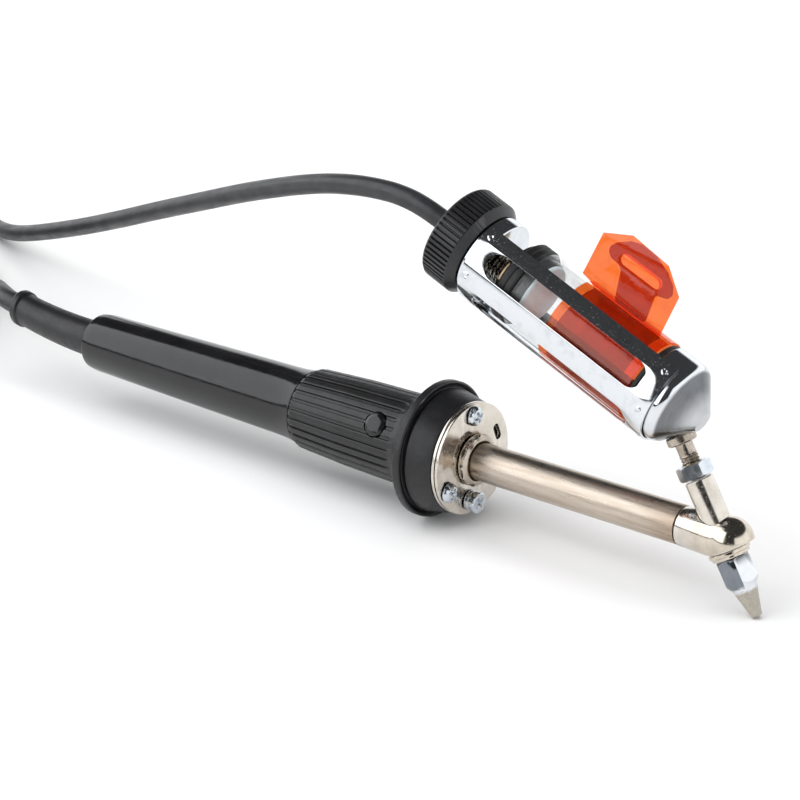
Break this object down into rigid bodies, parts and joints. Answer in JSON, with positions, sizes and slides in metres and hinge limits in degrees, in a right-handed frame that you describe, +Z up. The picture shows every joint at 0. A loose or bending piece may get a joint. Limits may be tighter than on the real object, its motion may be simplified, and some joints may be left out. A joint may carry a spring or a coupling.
{
  "type": "desoldering iron",
  "caption": "Straight-handled vacuum desoldering iron with heated hex nozzle, caged glass solder collector, finger button, vacuum hose and power cable with plug.",
  "frame": {"origin": "centre of the iron's box on the surface it lies on, cords and plugs left out", "axes": "+X along the handle towards the nozzle, +Z up, -Y the finger button's side"},
  "size_m": [0.5053, 0.1409, 0.092],
  "materials": {
    "black_gloss": "gloss",
    "black_satin": "satin",
    "black_rubber": "matte",
    "cord_rubber": "matte",
    "nickel": "nickel plated",
    "warm_steel": "heat tinted",
    "chrome": "polished",
    "zinc": "zinc plated",
    "spring_steel": "plain",
    "glass": "clear",
    "orange_film": "clear orange film",
    "filter_white": "matte",
    "ceramic": "ceramic, matte",
    "board_green": "matte",
    "wire_red": "matte",
    "wire_white": "matte"
  },
  "bodies": {
    "iron": {"handle_shell": "black_gloss", "grip_sleeve": "black_satin", "switch_body": "black_satin", "splash_guard": "black_rubber", "cable_clamp": "nickel", "terminal_board": "board_green", "lead_wire_1": "wire_red", "lead_wire_2": "wire_red", "element_lead_1": "wire_white", "element_lead_2": "wire_white", "heating_element": "ceramic", "sensor_rod": "nickel", "cable_boot": "black_rubber", "cable_inner_end": "cord_rubber", "flange_plate_rear": "nickel", "flange_plate_front": "nickel", "flange_screw_1": "zinc", "flange_screw_2": "zinc", "flange_screw_3": "zinc", "earth_screw": "zinc", "tube_collar": "nickel", "heater_tube": "warm_steel", "heater_head": "nickel", "suction_tube": "nickel", "nozzle_seat": "nickel", "nozzle": "warm_steel", "jam_nut": "zinc", "cap_nipple": "nickel", "front_cap": "chrome", "front_seal": "black_rubber", "collector_cage": "chrome", "rear_bush": "chrome", "plunger_spring": "spring_steel", "cable_coil": "cord_rubber", "cable_tie": "black_satin", "power_cable": "cord_rubber", "cable_tail": "cord_rubber", "hose_coil": "cord_rubber", "hose_tie": "black_satin", "vacuum_hose": "cord_rubber", "hose_tail": "cord_rubber", "plug_body": "black_satin", "plug_ring": "nickel", "plug_insert": "black_satin", "hose_fitting": "nickel", "fitting_o_ring": "black_rubber"},
    "button": {"switch_button": "black_gloss"},
    "closure": {"knurled_knob": "black_satin", "plunger": "nickel", "rear_seal": "black_rubber"},
    "collector_tube": {"glass_tube": "glass", "heat_shield_grip": "orange_film", "filter_holder": "black_rubber", "filter_pad": "filter_white"}
  },
  "joints": [
    {"name": "switch_press", "type": "slide", "parent": "iron", "child": "button", "axis": [0, 0.8434, -0.5373], "range_m": [0, 0.001], "stiffness_N_per_m": 300, "springref_m": -0.0003},
    {"name": "closure_pull", "type": "slide", "parent": "iron", "child": "closure", "axis": [-0.9191, 0, 0.3939], "range_m": [0, 0.003], "stiffness_N_per_m": 1500, "springref_m": -0.001, "deforming": ["plunger_spring"]},
    {"name": "tube_lift", "type": "slide", "parent": "iron", "child": "collector_tube", "axis": [0.2203, 0.829, 0.514], "range_m": [0, 0.03]}
  ]
}
